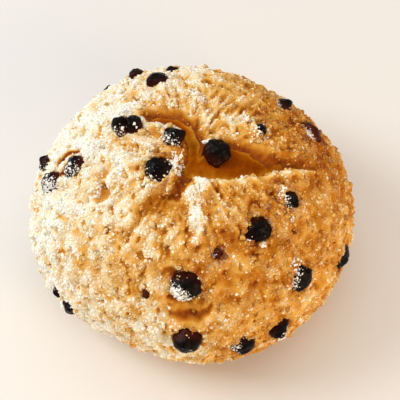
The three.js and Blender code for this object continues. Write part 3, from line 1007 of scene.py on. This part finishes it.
def bodies(where, sizes, corners, triangles, jitter, lowest=0.02):
    # one small irregular body at each place
    count = len(where)
    shapes = corners[None] + rng.normal(size=(count, *corners.shape)) * jitter / 2
    shapes = np.einsum("nij,nkj->nki", turns(count), shapes * sizes[:, None, None])
    points = shapes + where[:, None]
    points[..., 2] = np.maximum(points[..., 2], lowest)
    every = triangles[None] + (np.arange(count) * len(corners))[:, None, None]
    return points.reshape(-1, 3), every.reshape(-1, 3)


def crystal():
    # a slightly oblong block
    corners = np.array([(x, y, z) for x in (-1, 1) for y in (-1, 1) for z in (-1, 1)], float) / 2
    sides = [(0, 1, 3, 2), (4, 6, 7, 5), (0, 4, 5, 1), (2, 3, 7, 6), (0, 2, 6, 4), (1, 5, 7, 3)]
    triangles = [t for a, b, c, d in sides for t in ((a, b, c), (a, c, d))]
    return corners * sugar["crystalShape"], np.array(triangles)


def fineGrain():
    # an eight-sided grain
    corners = np.array([(1, 0, 0), (-1, 0, 0), (0, 1, 0), (0, -1, 0), (0, 0, 1), (0, 0, -1)], float)
    triangles = [(0, 2, 4), (2, 1, 4), (1, 3, 4), (3, 0, 4), (2, 0, 5), (1, 2, 5), (3, 1, 5), (0, 3, 5)]
    return corners * sugar["fineShape"], np.array(triangles)


def heapSpots(surface):
    # places in the heaps, raised towards the middle of each
    where, facing, tint = [], [], []
    for bearing, lean, radius, height, count, ownTint in sugar["heaps"]:
        away = lengths(surface.points - spot(bearing, lean))
        density = bell(away, 0, radius) * (away < sugar["heapReach"] * radius)
        spots, out, _ = scatter(surface, density, count)
        rise = height * rng.random(count) * bell(lengths(spots - spots.mean(0)), 0, radius)
        where.append(spots + out * rise[:, None])
        facing.append(out)
        tint.append(np.full(count, ownTint))
    return np.concatenate(where), np.concatenate(facing), np.concatenate(tint)


def tintFor(toast):
    # how much a grain takes on the colour of crust this brown, from baking and from painted light and shade
    share = (toast - bakeAndLight["pale"]) / (bakeAndLight["brown"] - bakeAndLight["pale"])
    return sugar["tintOnBrown"] * share + sugar["tint"]


def sugarPieces(surface, chipSurface):
    for name, kind in sugar["kinds"].items():
        corners, sides = crystal() if name == "sugar_coarse" else fineGrain()
        where, facing, near = scatter(surface, surface.sugar, kind["count"])
        # grains take on the crust's tone and its painted shade
        tint = tintFor(surface.toast[near]) + sugar["tintInRecess"] * surface.paintedShade[near]
        clustered = smoothstep(uneven(where, sugar["clusters"]), *sugar["clusterFrom"])
        tint = np.clip(tint - sugar["clusterPale"] * clustered, 0, 1)
        onWhere, onFacing, near = scatter(chipSurface, chipSurface.sugar, sugar["onChips"][name])
        onTint = sugar["crumblyTint"] * chipSurface.crumbly[near] * tintFor(toastAndLightAt(onWhere))
        lots = [(where, facing, tint), (onWhere, onFacing, sugar["chipTint"] + onTint)]
        if name == "sugar_coarse":
            lots.append(heapSpots(surface))
        where, facing, tint = (np.concatenate(parts) for parts in zip(*lots))
        sizes = sizesFor(len(where), kind["size"])
        tint = np.clip(tint + rng.normal(size=len(where)) * sugar["tintSpread"], 0, 1)
        spots = where + facing * (sizes * sugar["lift"])[:, None]
        made, every = bodies(spots, sizes, corners, sides, sugar["jitter"])
        mesh = meshFrom(name, made, every, smooth=False)
        paint(mesh, "tint", np.repeat(tint, len(corners)))
        finish = sugarFinish(name.replace("_", " "), kind["rough"], kind["coat"])
        addPiece(name, mesh, finish)
        print(name, len(where), "grains,", len(every), "triangles")


def crumbPiece(surface):
    form = surface.form
    loose = crumbs["least"] + surface.sugar + crumbs["onTorn"] * form.edge * form.torn
    loose = loose + crumbs["byChips"] * bell(form.away, *crumbs["chipsAt"])
    loose = loose * (1 - form.opened) ** 2 * (1 - form.hollow) * (1 - form.crease)
    corners, sides = geodesic(2)
    where, _, near = scatter(surface, loose, crumbs["count"])
    sizes = sizesFor(len(where), crumbs["size"])
    made, every = bodies(where, sizes / 2, corners, sides, crumbs["jitter"])
    mesh = meshFrom("crumbs", made, every)
    own = np.clip(surface.toast[near] + rng.normal(size=len(where)) * crumbs["toastSpread"], 0, 1)
    paint(mesh, "toast", np.repeat(own, len(corners)))
    paint(mesh, "paintedShade", np.zeros(len(made)))
    paint(mesh, "sugar", np.full(len(made), crumbs["dusted"]))
    addPiece("crumbs", mesh, bpy.data.materials["biscuitCrust"])
    print("crumbs", len(where), "bodies,", len(every), "triangles")


studio = {
    "floorHalf": 3.0,
    # place, size, power, colour
    "lamps": {
        "key": ((-0.75, 0.14, 0.62), 0.5, 6.4, (0.94, 0.98, 1.0)),
        "overhead": ((0.1, 0.6, 1.7), 2.2, 13.5, (0.99, 0.99, 1.0)),
        "front": ((0.1, -0.8, 0.4), 0.6, 0.8, (1.0, 0.95, 0.85)),
        "warmSide": ((0.5, -0.42, 0.26), 0.36, 2.6, (1.0, 0.74, 0.4)),
    },
    "lampAim": (0, 0, 0.02),
    "world": (1.0, 0.97, 0.93), "worldStrength": 0.4,
    "elevation": 62, "distance": 330, "aim": (2.52, 2.2, 26.4),
    "lens": 88.16, "sensor": 36, "nearest": 0.01,
}


def addFloor():
    half = studio["floorHalf"]
    mesh = bpy.data.meshes.new("floor")
    corners = [(-half, -half, 0), (half, -half, 0), (half, half, 0), (-half, half, 0)]
    mesh.from_pydata(corners, [], [(0, 1, 2, 3)])
    mesh.materials.append(floorFinish())
    floor = addObject("floor", mesh)


def addLights():
    for name, (where, size, power, tint) in studio["lamps"].items():
        lamp = bpy.data.lights.new(name, "AREA")
        lamp.size = size
        lamp.energy = power
        lamp.color = tint
        stand = addObject(name, lamp)
        stand.location = where
        way = Vector(studio["lampAim"]) - Vector(where)
        stand.rotation_euler = way.to_track_quat("-Z", "Y").to_euler()
    world = bpy.data.worlds.new("studio")
    world.use_nodes = True
    back = world.node_tree.nodes["Background"]
    back.inputs["Color"].default_value = (*studio["world"], 1)
    back.inputs["Strength"].default_value = studio["worldStrength"]
    bpy.context.scene.world = world
    bpy.context.scene.view_settings.view_transform = "Standard"


def addCamera():
    tilt = math.radians(studio["elevation"])
    aim = Vector(studio["aim"]) * mm
    back = Vector((0, -math.cos(tilt), math.sin(tilt)))
    lens = bpy.data.cameras.new("camera")
    lens.sensor_fit = "HORIZONTAL"
    lens.sensor_width = studio["sensor"]
    lens.lens = studio["lens"]
    lens.clip_start = studio["nearest"]
    view = addObject("camera", lens)
    view.location = aim + back * studio["distance"] * mm
    view.rotation_euler = (math.pi / 2 - tilt, 0, 0)
    bpy.context.scene.camera = view


addCamera()
addLights()
addFloor()
print("stage ready")
doughPiece()
print("dough ready")
crustSurface = crustPiece()
print("crust ready,", len(crustSurface.triangles), "triangles")
chipSurface = chipPieces()
print("chips ready,", len(chipSurface.triangles), "triangles")
crumbPiece(crustSurface)
sugarPieces(crustSurface, chipSurface)
print("sugar ready")
